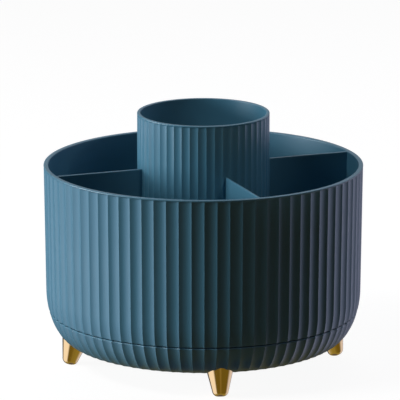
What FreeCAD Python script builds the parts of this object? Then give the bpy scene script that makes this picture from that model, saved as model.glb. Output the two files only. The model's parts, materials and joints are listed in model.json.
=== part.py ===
import FreeCAD, Part
import math
import os

import Sketcher
from FreeCAD import Placement, Rotation, Vector

# Revolving makeup organizer. A fluted drum with a brush cup in its middle turns on a footed base.
# The origin is on the surface it stands on, under the drum's axis. +Z is up, and a foot stands at -Y.

doc = FreeCAD.newDocument("organizer")
sheet = doc.addObject("Spreadsheet::Sheet", "Sizes")

# Driving sizes, in millimetres, degrees and counts
DRIVING = [
    ("drum_radius", 112.7, "flute ridges at the rim"),
    ("wall_lean", 1.1, "how far the wall draws in from the rim down to the knee"),
    ("knee_rise", 38.95, "height of the curved part, from the underside to the straight wall"),
    ("tuck", 21.7, "how far the curved part draws in below the knee"),
    ("clearance_under", 15.6, "underside of the base above the surface"),
    ("base_height", 22.35, "base shell, from its underside to its top edge"),
    ("seam_gap", 0.7, "gap between base and drum"),
    ("drum_height", 104.85, "drum shell, from its lower edge to the rim"),
    ("edge_break", 0.5, "broken edge at rims and seams"),
    ("flute_count", 80, "flutes round the drum and the base"),
    ("flute_depth", 0.9, "depth of a flute at the rim"),
    ("rim_wall", 3.4, "wall of the drum at the rim, from the flute ridges"),
    ("inner_lean", 1.5, "how far the inside of the drum draws in from the rim down to its floor"),
    ("floor_fillet", 2.5, "rounding between the drum's floor and wall"),
    ("skirt_wall", 2.3, "wall behind the flutes at the seam, in drum and base"),
    ("skirt_height", 2.35, "drum wall below the underside of its floor"),
    ("floor_thick", 2.4, "drum floor"),
    ("turn_flutes", 3, "turn of the drum on its base as it is shown, in flutes"),
    ("cup_radius", 46.65, "flute ridges of the cup"),
    ("cup_rise", 37.0, "cup rim above the drum rim"),
    ("cup_flutes", 50, "flutes round the cup"),
    ("cup_flute_depth", 0.6, "depth of a cup flute"),
    ("cup_wall", 2.45, "wall of the cup, from the flute ridges"),
    ("cup_plinth", 5.6, "hollow under the cup's floor"),
    ("cup_floor_thick", 2.5, "cup floor"),
    ("cup_foot_wall", 2.4, "wall of the ring that the cup stands on"),
    ("divider_count", 4, "panels between cup and wall"),
    ("divider_thick", 1.8, "divider panel"),
    ("divider_drop", 0.3, "top of a divider below the rim"),
    ("divider_round", 0.6, "rounding of a divider's top edge"),
    ("wall_tongue", 0.8, "edge of a divider let into the drum wall"),
    ("cup_tongue", 1.25, "edge of a divider let into the cup, from the flute ridges"),
    ("slot_gap", 0.1, "room round a divider in its slots"),
    ("foot_count", 4, "feet"),
    ("foot_out", 6.1, "foot tips outside the edge of the base's flat underside"),
    ("foot_splay", 13.8, "lean of a foot, which is also the taper of its side"),
    ("foot_tip_radius", 4.85, "radius of a foot at its tip, before rounding"),
    ("foot_tip_round", 3.9, "rounding of a foot's tip"),
    ("foot_let_in", 10.4, "cone of a foot past the base's underside, before it is fitted to the bowl"),
    ("foot_boss_radius", 6.0, "boss inside the bowl, over a foot"),
    ("foot_boss_height", 8.9, "that boss's top past the base's underside, along the foot"),
    ("bowl_floor", 2.6, "floor of the base"),
    ("ball_inset", 19.9, "centres of the balls inside the edge of the base's flat underside"),
    ("ball_radius", 3.0, "steel ball"),
    ("ball_count", 24, "balls"),
    ("lower_race_height", 9.7, "lower race above the floor of the base"),
    ("ball_play", 0.06, "running gap between a ball and a race"),
    ("race_width", 16.0, "race ring, across"),
    ("race_web", 3.5, "thickness of a race under its groove"),
    ("race_wall", 2.0, "side walls of a race ring"),
    ("race_gap", 3.2, "space between the two races"),
    ("race_screw_count", 4, "screws in each race"),
    ("race_boss_radius", 4.0, "bosses that take the race screws"),
    ("ear_reach", 15.0, "screws of the upper race's ears outside the circle of the balls"),
    ("ear_radius", 5.5, "end of a screw ear"),
    ("ear_thick", 3.0, "screw ear"),
    ("ear_drop", 5.0, "ear below the drum's floor"),
    ("cage_width", 11.0, "ball cage, across"),
    ("cage_thick", 1.6, "ball cage"),
    ("pocket_play", 0.2, "gap between a ball and its pocket"),
    ("pin_radius", 7.0, "pivot pin under the drum"),
    ("pin_root_step", 4.0, "thick root of the pivot pin, past the pin's radius"),
    ("pin_root", 4.0, "height of that root"),
    ("pin_play", 0.06, "running gap between the pin and its bush"),
    ("bush_wall", 2.44, "bush sleeve"),
    ("bush_length", 12.0, "bush sleeve below its flange"),
    ("bush_flange", 1.5, "bush flange"),
    ("tower_wall", 2.98, "wall of the tower that holds the bush"),
    ("tower_drop", 4.95, "top of the tower below the top edge of the base"),
    ("press_gap", 0.02, "gap of a pressed or screwed fit"),
    ("end_float", 0.6, "lift of the drum before its washer meets the bush"),
    ("washer_room", 0.52, "room round the retaining washer in the tower"),
    ("washer_thick", 1.5, "retaining washer"),
    ("pivot_screw_radius", 2.0, "shank of the pivot screw"),
    ("pivot_screw_length", 14.0, "pivot screw below its head"),
    ("small_screw_radius", 1.5, "shank of the screws in races and cup"),
    ("foot_screw_radius", 1.9, "shank of the screws in the feet"),
    ("foot_screw_length", 12.5, "foot screw below its head"),
    ("lower_screw_cover", 3.9, "lower race above the tip of its screws"),
    ("upper_screw_cover", 2.4, "drum floor above the tip of the upper race's screws"),
    ("cup_screw_cover", 1.5, "cup floor above the tip of the cup's screws"),
    ("cup_screw_inset", 18.65, "cup screws inside the flute ridges of the cup"),
    ("cup_screw_count", 3, "cup screws"),
    ("screw_room", 0.3, "clearance round a screw in a through hole"),
    ("screw_tip_room", 0.6, "depth of a screw hole past the screw's tip"),
    ("head_break", 0.4, "broken edge of a screw's head and tip"),
]


class Size:
    """A size of the sheet, or a sum of such sizes: its value now, and its text for an expression."""

    def __init__(self, value, text):
        self.value = value
        self.text = text

    def __add__(self, other):
        return joined(self, "+", other, self.value + number(other))

    def __radd__(self, other):
        return joined(other, "+", self, number(other) + self.value)

    def __sub__(self, other):
        return joined(self, "-", other, self.value - number(other))

    def __rsub__(self, other):
        return joined(other, "-", self, number(other) - self.value)

    def __mul__(self, other):
        return joined(self, "*", other, self.value * number(other))

    def __rmul__(self, other):
        return joined(other, "*", self, number(other) * self.value)

    def __truediv__(self, other):
        return joined(self, "/", other, self.value / number(other))

    def __rtruediv__(self, other):
        return joined(other, "/", self, number(other) / self.value)

    def __neg__(self):
        return Size(-self.value, f"(-{self.text})")


def number(size):
    return size.value if isinstance(size, Size) else size


def text(size):
    return size.text if isinstance(size, Size) else repr(size)


def joined(left, sign, right, value):
    return Size(value, f"({text(left)} {sign} {text(right)})")


def root(size):
    return Size(math.sqrt(size.value), f"sqrt({size.text})")


def sine(angle):
    return Size(math.sin(math.radians(angle.value)), f"sin({angle.text})")


def cosine(angle):
    return Size(math.cos(math.radians(angle.value)), f"cos({angle.text})")


class Place:
    """A placement: its value now, and its text for an expression."""

    def __init__(self, value, text):
        self.value = value
        self.text = text

    def __mul__(self, other):
        return Place(self.value * other.value, f"{self.text} * {other.text}")


def place_text(x, y, z, axis, angle):
    corner = f"create(<<vector>>; {text(x)}; {text(y)}; {text(z)})"
    turn = f"create(<<rotation>>; create(<<vector>>; {axis}); {text(angle)})"
    return f"create(<<placement>>; {corner}; {turn})"


def turned(angle):
    """Turn about the drum's axis."""
    value = Placement(Vector(0, 0, 0), Rotation(Vector(0, 0, 1), number(angle)))
    return Place(value, place_text(0, 0, 0, "0; 0; 1", angle))


def leaned(angle):
    """Turn about X."""
    value = Placement(Vector(0, 0, 0), Rotation(Vector(1, 0, 0), number(angle)))
    return Place(value, place_text(0, 0, 0, "1; 0; 0", angle))


def moved(x, y, z):
    value = Placement(Vector(number(x), number(y), number(z)), Rotation())
    return Place(value, place_text(x, y, z, "0; 0; 1", 0))


class Sizes:
    """The sheet's sizes by name."""


for row, (alias, value, note) in enumerate(DRIVING, 1):
    sheet.set(f"A{row}", note)
    sheet.set(f"B{row}", str(value))
    sheet.setAlias(f"B{row}", alias)
    setattr(Sizes, alias, Size(value, f"Sizes.{alias}"))
doc.recompute()
of = Sizes

# Heights, radii and turns that follow from the driving sizes
base_low = of.clearance_under
base_top = base_low + of.base_height
drum_low = base_top + of.seam_gap
rim_top = drum_low + of.drum_height
knee_height = base_low + of.knee_rise
knee_radius = of.drum_radius - of.wall_lean
low_radius = knee_radius - of.tuck
drum_inner_top = of.drum_radius - of.rim_wall
drum_inner_low = drum_inner_top - of.inner_lean
drum_turn = of.turn_flutes * 360 / of.flute_count
bowl_floor_top = base_low + of.bowl_floor
floor_low = drum_low + of.skirt_height
floor_top = floor_low + of.floor_thick
cup_floor_low = floor_top + of.cup_plinth
cup_floor_top = cup_floor_low + of.cup_floor_thick
cup_top = rim_top + of.cup_rise
cup_inner_radius = of.cup_radius - of.cup_wall
cup_screw_circle = of.cup_radius - of.cup_screw_inset
cup_screw_length = of.floor_thick + of.cup_plinth + of.cup_floor_thick - of.cup_screw_cover
divider_top = rim_top - of.divider_drop
foot_circle = low_radius + of.foot_out
foot_length = base_low + of.foot_let_in
foot_boss_top = base_low + of.foot_boss_height
ball_circle = low_radius - of.ball_inset
race_inner = ball_circle - of.race_width / 2
race_outer = ball_circle + of.race_width / 2
lower_race_top = bowl_floor_top + of.lower_race_height
ball_height = lower_race_top + of.race_gap / 2
upper_race_low = lower_race_top + of.race_gap
lower_screw_length = of.bowl_floor + of.lower_race_height - of.lower_screw_cover
ear_circle = ball_circle + of.ear_reach
ear_top = floor_low - of.ear_drop
ear_low = ear_top - of.ear_thick
upper_screw_length = of.ear_thick + of.ear_drop + of.floor_thick - of.upper_screw_cover
tower_top = base_top - of.tower_drop
bush_low = tower_top - of.bush_length
bush_top = tower_top + of.bush_flange
bush_bore = of.pin_radius + of.pin_play
bush_radius = bush_bore + of.bush_wall
tower_bore = bush_radius + of.press_gap
tower_radius = tower_bore + of.tower_wall
pin_root_radius = of.pin_radius + of.pin_root_step
pin_low = bush_low - of.end_float
washer_low = pin_low - of.washer_thick
washer_radius = tower_bore - of.washer_room

# How far a cut runs past what it cuts
OVERRUN = 5.0

# Pan heads, as shares of the shank's radius
HEAD_TO_SHANK = 1.9
HEAD_HEIGHT_TO_SHANK = 1.3


def outline_radius(height):
    """Radius of the flute ridges at a height below the knee, on the quarter ellipse of the bowl."""
    drop = (knee_height - height) / of.knee_rise
    return low_radius + of.tuck * root(1 - drop * drop)


seam_radius = outline_radius(base_top)
skirt_radius = outline_radius(drum_low) - of.flute_depth - of.skirt_wall


# Small makers that the pieces share
def origin_feature(body, role):
    return next(feature for feature in body.Origin.OriginFeatures if feature.Role == role)


def new_body(name):
    body = doc.addObject("PartDesign::Body", name)
    body.AllowCompound = True
    return body


def new_sketch(body, name, role, lift=0):
    """Sketch on one of the body's own origin planes, lifted along that plane's normal."""
    sketch = body.newObject("Sketcher::SketchObject", name)
    sketch.AttachmentSupport = [(origin_feature(body, role), "")]
    sketch.MapMode = "FlatFace"
    sketch.AttachmentOffset = Placement(Vector(0, 0, number(lift)), Rotation())
    if isinstance(lift, Size):
        sketch.setExpression("AttachmentOffset.Base.z", lift.text)
    return sketch


def hold(sketch, kind, edge, point, size):
    """Distance of a point from the sketch's origin, along its X or its Y, bound to the sheet."""
    if number(size) == 0:
        axis = -2 if kind == "DistanceX" else -1
        sketch.addConstraint(Sketcher.Constraint("PointOnObject", edge, point, axis))
        return
    place = sketch.addConstraint(Sketcher.Constraint(kind, -1, 1, edge, point, number(size)))
    if isinstance(size, Size):
        sketch.setExpression(f"Constraints[{place}]", size.text)


def draw_outline(sketch, corners):
    """Closed outline of straight edges, each corner held to the sheet's sizes."""
    first = sketch.GeometryCount
    count = len(corners)
    points = [Vector(number(x), number(y), 0) for x, y in corners]
    for index in range(count):
        sketch.addGeometry(Part.LineSegment(points[index], points[(index + 1) % count]))
    for index, (x, y) in enumerate(corners):
        following = first + (index + 1) % count
        sketch.addConstraint(Sketcher.Constraint("Coincident", first + index, 2, following, 1))
        hold(sketch, "DistanceX", first + index, 1, x)
        hold(sketch, "DistanceY", first + index, 1, y)


def draw_circle(sketch, x, y, radius):
    edge = sketch.addGeometry(Part.Circle(Vector(number(x), number(y), 0), Vector(0, 0, 1), number(radius)))
    hold(sketch, "DistanceX", edge, 3, x)
    hold(sketch, "DistanceY", edge, 3, y)
    place = sketch.addConstraint(Sketcher.Constraint("Radius", edge, number(radius)))
    sketch.setExpression(f"Constraints[{place}]", text(radius))


def draw_axis(sketch, x):
    """Upright construction line that a revolution turns about."""
    line = Part.LineSegment(Vector(number(x), 0, 0), Vector(number(x), OVERRUN, 0))
    edge = sketch.addGeometry(line, True)
    sketch.addConstraint(Sketcher.Constraint("Vertical", edge))
    sketch.addConstraint(Sketcher.Constraint("DistanceY", edge, 1, edge, 2, OVERRUN))
    hold(sketch, "DistanceX", edge, 1, x)
    hold(sketch, "DistanceY", edge, 1, 0)


def turn_profile(body, name, corners, axis_at=None):
    """Solid of revolution about the body's Z axis, or about an upright axis beside it."""
    sketch = new_sketch(body, f"{name}_sketch", "XZ_Plane")
    if axis_at is not None:
        draw_axis(sketch, axis_at)
    draw_outline(sketch, corners)
    feature = body.newObject("PartDesign::Revolution", name)
    feature.Profile = (sketch, [""])
    feature.ReferenceAxis = (sketch, ["V_Axis" if axis_at is None else "Axis0"])
    feature.Angle = 360
    return feature


def pad(body, name, sketch, length, both_ways=False):
    feature = body.newObject("PartDesign::Pad", name)
    feature.Profile = (sketch, [""])
    feature.Midplane = both_ways
    feature.Length = number(length)
    feature.setExpression("Length", text(length))
    return feature


def pocket(body, name, sketch, length):
    """Pocket that cuts upwards, along the sketch's own normal."""
    feature = body.newObject("PartDesign::Pocket", name)
    feature.Profile = (sketch, [""])
    feature.Reversed = True
    feature.Length = number(length)
    feature.setExpression("Length", text(length))
    return feature


def repeat_round(body, name, features, count):
    """Copies of a feature at equal steps round the body's Z axis."""
    pattern = body.newObject("PartDesign::PolarPattern", name)
    pattern.Originals = features
    pattern.Axis = (origin_feature(body, "Z_Axis"), [""])
    pattern.Angle = 360
    pattern.Occurrences = int(number(count))
    pattern.setExpression("Occurrences", text(count))
    body.Tip = pattern
    return pattern


def boolean(kind, name, base, tool):
    result = doc.addObject(f"Part::{kind}", name)
    result.Base = base
    result.Tool = tool
    return result


def joined_solid(name, pieces):
    result = doc.addObject("Part::MultiFuse", name)
    result.Shapes = pieces
    return result


def put(piece, place):
    piece.Placement = place.value
    piece.setExpression("Placement", place.text)
    return piece


def group(name, pieces, place=None):
    """Node of one or more separate solids."""
    result = doc.addObject("Part::Compound", name)
    result.Links = pieces
    if place is not None:
        put(result, place)
    return result


def cylinder(name, radius, low, high, place=None):
    """Cylinder on the Z axis of its place, between two heights."""
    result = doc.addObject("Part::Cylinder", name)
    result.setExpression("Radius", text(radius))
    result.setExpression("Height", text(high - low))
    spot = moved(0, 0, low)
    return put(result, spot if place is None else place * spot)


def ring_profile(inner, outer, low, high):
    return [(inner, low), (outer, low), (outer, high), (inner, high)]


def names_round(stem, count):
    """Names of equal pieces round the axis: by side where there are four, and otherwise by number."""
    sides = ["front", "right", "back", "left"]
    if int(count.value) != len(sides):
        sides = range(1, int(count.value) + 1)
    return [f"{stem}_{side}" for side in sides]


def round_pegs(name, circle, radius, low, high, count):
    """Equal upright pegs at equal steps round the axis, the first at +X."""
    body = new_body(name)
    sketch = new_sketch(body, f"{name}_circle", "XY_Plane", low)
    draw_circle(sketch, circle, 0, radius)
    peg = pad(body, f"{name}_peg", sketch, high - low)
    repeat_round(body, f"{name}_round", [peg], count)
    return body


def screws(name, circle, seat, shank_radius, length, count):
    """Pan-head screws driven upwards: heads below their seat, shanks above it."""
    body = new_body(name)
    head_radius = shank_radius * HEAD_TO_SHANK
    head_low = seat - shank_radius * HEAD_HEIGHT_TO_SHANK
    corners = [
        (circle, head_low),
        (circle + head_radius - of.head_break, head_low),
        (circle + head_radius, head_low + of.head_break),
        (circle + head_radius, seat),
        (circle + shank_radius, seat),
        (circle + shank_radius, seat + length - of.head_break),
        (circle + shank_radius - of.head_break, seat + length),
        (circle, seat + length),
    ]
    turned_screw = turn_profile(body, f"{name}_turned", corners, axis_at=circle)
    if number(count) > 1:
        repeat_round(body, f"{name}_round", [turned_screw], count)
    return body


# Fluted forms: a ring of hollow flutes, lofted up the outline
def fluted_ring(radius, height, count, depth):
    """Closed ring of hollow arcs between sharp ridges, with the middle of a flute at the front."""
    def on_circle(distance, turn):
        angle = math.radians(-90 + turn * 360 / count)
        return Vector(distance * math.cos(angle), distance * math.sin(angle), height)

    arcs = []
    for flute in range(count):
        start = on_circle(radius, flute - 0.5)
        middle = on_circle(radius - depth, flute)
        end = on_circle(radius, flute + 0.5)
        arcs.append(Part.Arc(start, middle, end).toShape())
    return Part.Wire(arcs)


def fluted_loft(name, sections, count, depth, full_radius, ruled):
    """Solid through fluted rings of given radius and height; a flute shallows as the ring narrows."""
    rings = []
    for radius, height in sections:
        shallowed = depth.value * number(radius) / full_radius.value
        rings.append(fluted_ring(number(radius), number(height), int(count.value), shallowed))
    feature = doc.addObject("Part::Feature", name)
    feature.Shape = Part.makeLoft(rings, True, ruled)
    return feature


# Base shell: a fluted bowl with a tower for the pivot and a boss over each foot
BOWL_SECTIONS = 7
bowl_edge = base_top - of.edge_break
last_angle = math.acos(((knee_height - bowl_edge) / of.knee_rise).value)


def bowl_point(angle):
    """Flute ridge on the bowl's quarter ellipse, at an angle up from its underside."""
    radius = low_radius.value + of.tuck.value * math.sin(angle)
    height = knee_height.value - of.knee_rise.value * math.cos(angle)
    return radius, height


def bowl_inside_point(angle):
    """Point inside the bowl's wall, a wall's thickness square to the ellipse."""
    radius, height = bowl_point(angle)
    across = math.sin(angle) / of.tuck.value
    up = math.cos(angle) / of.knee_rise.value
    scale = (of.flute_depth.value + of.skirt_wall.value) / math.hypot(across, up)
    return radius - scale * across, height + scale * up


def bowl_hollow_shape():
    """Inside of the bowl, turned about the axis round the tower."""
    top = seam_radius.value - of.flute_depth.value - of.skirt_wall.value
    middle = bowl_inside_point(last_angle / 2)
    corners = [
        (tower_radius.value, bowl_floor_top.value),
        (low_radius.value, bowl_floor_top.value),
        middle,
        (top, base_top.value),
        (top, base_top.value + OVERRUN),
        (0, base_top.value + OVERRUN),
        (0, tower_top.value),
        (tower_radius.value, tower_top.value),
    ]
    points = [Vector(radius, 0, height) for radius, height in corners]
    edges = [
        Part.LineSegment(points[0], points[1]).toShape(),
        Part.Arc(points[1], points[2], points[3]).toShape(),
    ]
    for start, end in zip(points[3:], points[4:] + points[:1]):
        edges.append(Part.LineSegment(start, end).toShape())
    return Part.Face(Part.Wire(edges)).revolve(Vector(0, 0, 0), Vector(0, 0, 1), 360)


bowl_sections = [bowl_point(last_angle * step / (BOWL_SECTIONS - 1)) for step in range(BOWL_SECTIONS)]
lip_sections = [bowl_sections[-1], (seam_radius - of.edge_break, base_top)]
bowl_body = fluted_loft("bowl_body", bowl_sections, of.flute_count, of.flute_depth, of.drum_radius, False)
bowl_lip = fluted_loft("bowl_lip", lip_sections, of.flute_count, of.flute_depth, of.drum_radius, True)
bowl_form = joined_solid("bowl_form", [bowl_body, bowl_lip])
bowl_hollow = doc.addObject("Part::Feature", "bowl_hollow")
bowl_hollow.Shape = bowl_hollow_shape()

# A foot's own frame has its origin at the tip and its axis leaning inwards
foot_place = moved(0, -foot_circle, 0) * leaned(-of.foot_splay)
foot_turns = [turned(index * 360 / of.foot_count) for index in range(int(of.foot_count.value))]
foot_screw_tip = foot_boss_top - of.foot_screw_length
boss_rod = cylinder("foot_boss_rod", of.foot_boss_radius, foot_screw_tip, foot_boss_top, foot_place)
foot_boss = boolean("Common", "foot_boss", boss_rod, bowl_form)
foot_bore = cylinder(
    "foot_bore", of.foot_screw_radius + of.screw_room, foot_screw_tip, foot_boss_top + OVERRUN, foot_place
)
foot_bosses = [group(f"foot_boss_{index}", [foot_boss], turn) for index, turn in enumerate(foot_turns)]
foot_bores = [group(f"foot_bore_{index}", [foot_bore], turn) for index, turn in enumerate(foot_turns)]
race_screw_bores = put(
    round_pegs("race_screw_bores", ball_circle, of.small_screw_radius + of.screw_room,
               base_low - OVERRUN, bowl_floor_top + OVERRUN, of.race_screw_count),
    turned(180 / of.race_screw_count),
)
tower_hole = cylinder("tower_hole", tower_bore, base_low - OVERRUN, tower_top + OVERRUN)
bowl_cut = boolean("Cut", "bowl_cut", bowl_form, bowl_hollow)
bowl_bossed = joined_solid("bowl_bossed", [bowl_cut] + foot_bosses)
base_holes = group("base_holes", [tower_hole, race_screw_bores] + foot_bores)
base_shell = boolean("Cut", "base_shell", bowl_bossed, base_holes)

# Feet: round cones, rounded at the tip, cut level where they stand and fitted to the bowl above
foot_body = new_body("foot_body")
taper = sine(of.foot_splay) / cosine(of.foot_splay)
foot_cone = turn_profile(foot_body, "foot_cone", [
    (0, 0),
    (of.foot_tip_radius, 0),
    (of.foot_tip_radius + foot_length * taper, foot_length),
    (0, foot_length),
])
doc.recompute()


def edges_at(shape, height, radius=None):
    """Names of a shape's edges that lie level at a height, and at a radius where one is given."""
    names = []
    for place, edge in enumerate(shape.Edges, 1):
        box = edge.BoundBox
        level = abs(box.ZMin - number(height)) < 1e-4 and abs(box.ZMax - number(height)) < 1e-4
        wide = radius is None or abs(max(box.XMax, -box.XMin) - number(radius)) < 1e-3
        if level and wide:
            names.append(f"Edge{place}")
    return names


def fillet(body, name, feature, edges, radius):
    result = body.newObject("PartDesign::Fillet", name)
    result.Base = (feature, edges)
    result.Radius = number(radius)
    result.setExpression("Radius", text(radius))
    return result


tip_edges = edges_at(foot_cone.Shape, 0, of.foot_tip_radius)
fillet(foot_body, "foot_tip_rounding", foot_cone, tip_edges, of.foot_tip_round)
put(foot_body, foot_place)
foot_fitted = boolean("Cut", "foot_fitted", foot_body, bowl_form)
below = cylinder("below_surface", of.drum_radius, Size(-OVERRUN, repr(-OVERRUN)), Size(0.0, "0.0"))
foot_level = boolean("Cut", "foot_level", foot_fitted, below)
foot_pilot = cylinder(
    "foot_pilot", of.foot_screw_radius + of.press_gap,
    foot_screw_tip - of.screw_tip_room, foot_length + OVERRUN, foot_place,
)
foot = boolean("Cut", "foot", foot_level, foot_pilot)
feet = [group(name, [foot], turn) for name, turn in zip(names_round("foot", of.foot_count), foot_turns)]

foot_screw = put(
    screws("foot_screw", 0, -foot_boss_top, of.foot_screw_radius, of.foot_screw_length, 1),
    foot_place * leaned(180),
)
foot_screws = group("foot_screws", [
    group(f"foot_screw_{index}", [foot_screw], turn) for index, turn in enumerate(foot_turns)
])

# Lower race: a channel, open below, with a ball groove along its top
def channel(name, low, high, web_low, web_high):
    """Ring of channel section: two side walls and a web between two heights."""
    inside_inner = race_inner + of.race_wall
    inside_outer = race_outer - of.race_wall
    body = new_body(name)
    web_is_top = web_high.value >= high.value
    open_edge = low if web_is_top else high
    web_inside = web_low if web_is_top else web_high
    closed_edge = high if web_is_top else low
    turn_profile(body, f"{name}_ring", [
        (race_inner, closed_edge),
        (race_outer, closed_edge),
        (race_outer, open_edge),
        (inside_outer, open_edge),
        (inside_outer, web_inside),
        (inside_inner, web_inside),
        (inside_inner, open_edge),
        (race_inner, open_edge),
    ])
    return body


def ball_groove(name):
    groove = doc.addObject("Part::Torus", name)
    groove.setExpression("Radius1", ball_circle.text)
    groove.setExpression("Radius2", text(of.ball_radius + of.ball_play))
    return put(groove, moved(0, 0, ball_height))


between_feet = turned(180 / of.race_screw_count)
lower_web_low = lower_race_top - of.race_web
lower_ring = channel("lower_ring", bowl_floor_top, lower_race_top, lower_web_low, lower_race_top)
lower_bosses = put(
    round_pegs("lower_bosses", ball_circle, of.race_boss_radius, bowl_floor_top, lower_race_top,
               of.race_screw_count),
    between_feet,
)
lower_pilots = put(
    round_pegs("lower_pilots", ball_circle, of.small_screw_radius + of.press_gap, bowl_floor_top - OVERRUN,
               base_low + lower_screw_length + of.screw_tip_room, of.race_screw_count),
    between_feet,
)
lower_solid = joined_solid("lower_solid", [lower_ring, lower_bosses])
lower_tools = group("lower_tools", [ball_groove("lower_groove"), lower_pilots])
lower_race = boolean("Cut", "lower_race", lower_solid, lower_tools)
lower_race_screws = put(
    screws("lower_race_screws", ball_circle, base_low, of.small_screw_radius, lower_screw_length,
           of.race_screw_count),
    between_feet,
)

# Pivot bush, pressed into the tower
pivot_bush = new_body("pivot_bush")
turn_profile(pivot_bush, "bush_turned", [
    (bush_bore, bush_low),
    (bush_radius, bush_low),
    (bush_radius, tower_top),
    (tower_radius, tower_top),
    (tower_radius, bush_top),
    (bush_bore, bush_top),
])

# Balls and their cage, which follow the drum at half its speed
cage_inner = ball_circle - of.cage_width / 2
cage_outer = ball_circle + of.cage_width / 2
cage_low = ball_height - of.cage_thick / 2
ball_cage = new_body("ball_cage")
cage_ring = turn_profile(
    ball_cage, "cage_ring", ring_profile(cage_inner, cage_outer, cage_low, cage_low + of.cage_thick)
)
pocket_sketch = new_sketch(ball_cage, "pocket_circle", "XY_Plane", cage_low - OVERRUN)
draw_circle(pocket_sketch, ball_circle, 0, of.ball_radius + of.pocket_play)
doc.recompute()
ball_pocket = pocket(ball_cage, "ball_pocket", pocket_sketch, of.cage_thick + 2 * OVERRUN)
repeat_round(ball_cage, "ball_pockets", [ball_pocket], of.ball_count)

ball = doc.addObject("Part::Sphere", "ball")
ball.setExpression("Radius", of.ball_radius.text)
put(ball, moved(ball_circle, 0, ball_height))
bearing_balls = group("bearing_balls", [
    group(f"ball_{index}", [ball], turned(index * 360 / of.ball_count))
    for index in range(int(of.ball_count.value))
])

# Drum shell, in the drum's own frame with a divider to the front
DRUM_CURVE_STEPS = 5
drum_sections = []
for step in range(DRUM_CURVE_STEPS + 1):
    height = drum_low.value + (knee_height.value - drum_low.value) * step / DRUM_CURVE_STEPS
    drop = (knee_height.value - height) / of.knee_rise.value
    drum_sections.append((low_radius.value + of.tuck.value * math.sqrt(1 - drop * drop), height))
rim_edge_radius = of.drum_radius - of.edge_break * of.wall_lean / of.drum_height
drum_sections.append((rim_edge_radius, rim_top - of.edge_break))
drum_sections.append((of.drum_radius - of.edge_break, rim_top))
drum_form = fluted_loft("drum_form", drum_sections, of.flute_count, of.flute_depth, of.drum_radius, True)

drum_hollow = new_body("drum_hollow")
hollow_turned = turn_profile(drum_hollow, "drum_hollow_turned", [
    (0, floor_top),
    (drum_inner_low, floor_top),
    (drum_inner_top, rim_top - of.edge_break),
    (drum_inner_top + of.edge_break, rim_top),
    (drum_inner_top + of.edge_break, rim_top + OVERRUN),
    (0, rim_top + OVERRUN),
])
doc.recompute()
fillet(
    drum_hollow, "drum_floor_fillet", hollow_turned,
    edges_at(hollow_turned.Shape, floor_top, drum_inner_low), of.floor_fillet,
)
skirt_hollow = cylinder("skirt_hollow", skirt_radius, drum_low - OVERRUN, floor_low)
drum_pin = new_body("drum_pin")
turn_profile(drum_pin, "drum_pin_turned", [
    (0, pin_low),
    (of.pin_radius, pin_low),
    (of.pin_radius, floor_low - of.pin_root),
    (pin_root_radius, floor_low - of.pin_root),
    (pin_root_radius, floor_top),
    (0, floor_top),
])
between_dividers = turned(180 / of.race_screw_count)
ear_bosses = put(
    round_pegs("ear_bosses", ear_circle, of.race_boss_radius, ear_top, floor_top, of.race_screw_count),
    between_dividers,
)
ear_pilots = put(
    round_pegs("ear_pilots", ear_circle, of.small_screw_radius + of.press_gap, ear_top - OVERRUN,
               ear_low + upper_screw_length + of.screw_tip_room, of.race_screw_count),
    between_dividers,
)
cup_screw_holes = round_pegs(
    "cup_screw_holes", cup_screw_circle, of.small_screw_radius + of.screw_room,
    floor_low - OVERRUN, floor_top + OVERRUN, of.cup_screw_count,
)
pin_pilot = cylinder(
    "pin_pilot", of.pivot_screw_radius + of.press_gap, pin_low - OVERRUN,
    washer_low + of.pivot_screw_length + of.screw_tip_room,
)


def panel_corners(inner, tongue, low, high):
    """Side view of a divider: upright at the cup, along the drum's leaning wall outside."""
    lean = of.inner_lean / of.drum_height
    return [
        (inner, low),
        (drum_inner_low + tongue + (low - floor_top) * lean, low),
        (drum_inner_low + tongue + (high - floor_top) * lean, high),
        (inner, high),
    ]


wall_slots = new_body("wall_slots")
slot_sketch = new_sketch(wall_slots, "wall_slot_outline", "XZ_Plane")
draw_outline(slot_sketch, panel_corners(
    drum_inner_low - OVERRUN, of.wall_tongue + of.slot_gap, floor_top, rim_top + OVERRUN
))
wall_slot = pad(wall_slots, "wall_slot", slot_sketch, of.divider_thick + 2 * of.slot_gap, both_ways=True)
repeat_round(wall_slots, "wall_slots_round", [wall_slot], of.divider_count)

drum_hollows = group("drum_hollows", [drum_hollow, skirt_hollow, wall_slots])
drum_cut = boolean("Cut", "drum_cut", drum_form, drum_hollows)
drum_bossed = joined_solid("drum_bossed", [drum_cut, drum_pin, ear_bosses])
drum_holes = group("drum_holes", [ear_pilots, cup_screw_holes, pin_pilot])
drum_shell = put(boolean("Cut", "drum_shell", drum_bossed, drum_holes), turned(drum_turn))

# Upper race: a channel the other way up, hung from the drum's floor by four ears
upper_web_high = upper_race_low + of.race_web
upper_ring = channel("upper_ring", upper_race_low, floor_low, upper_race_low, upper_web_high)
ear_body = new_body("race_ears")
ear_sketch = new_sketch(ear_body, "race_ear_outline", "XY_Plane", ear_low)
ear_root = race_outer - of.race_wall / 2
draw_outline(ear_sketch, [
    (ear_root, -of.ear_radius),
    (ear_circle, -of.ear_radius),
    (ear_circle, of.ear_radius),
    (ear_root, of.ear_radius),
])
ear_bar = pad(ear_body, "race_ear_bar", ear_sketch, of.ear_thick)
ear_end_sketch = new_sketch(ear_body, "race_ear_end", "XY_Plane", ear_low)
draw_circle(ear_end_sketch, ear_circle, 0, of.ear_radius)
ear_end = pad(ear_body, "race_ear_round", ear_end_sketch, of.ear_thick)
repeat_round(ear_body, "race_ears_round", [ear_bar, ear_end], of.race_screw_count)
put(ear_body, between_dividers)
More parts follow.
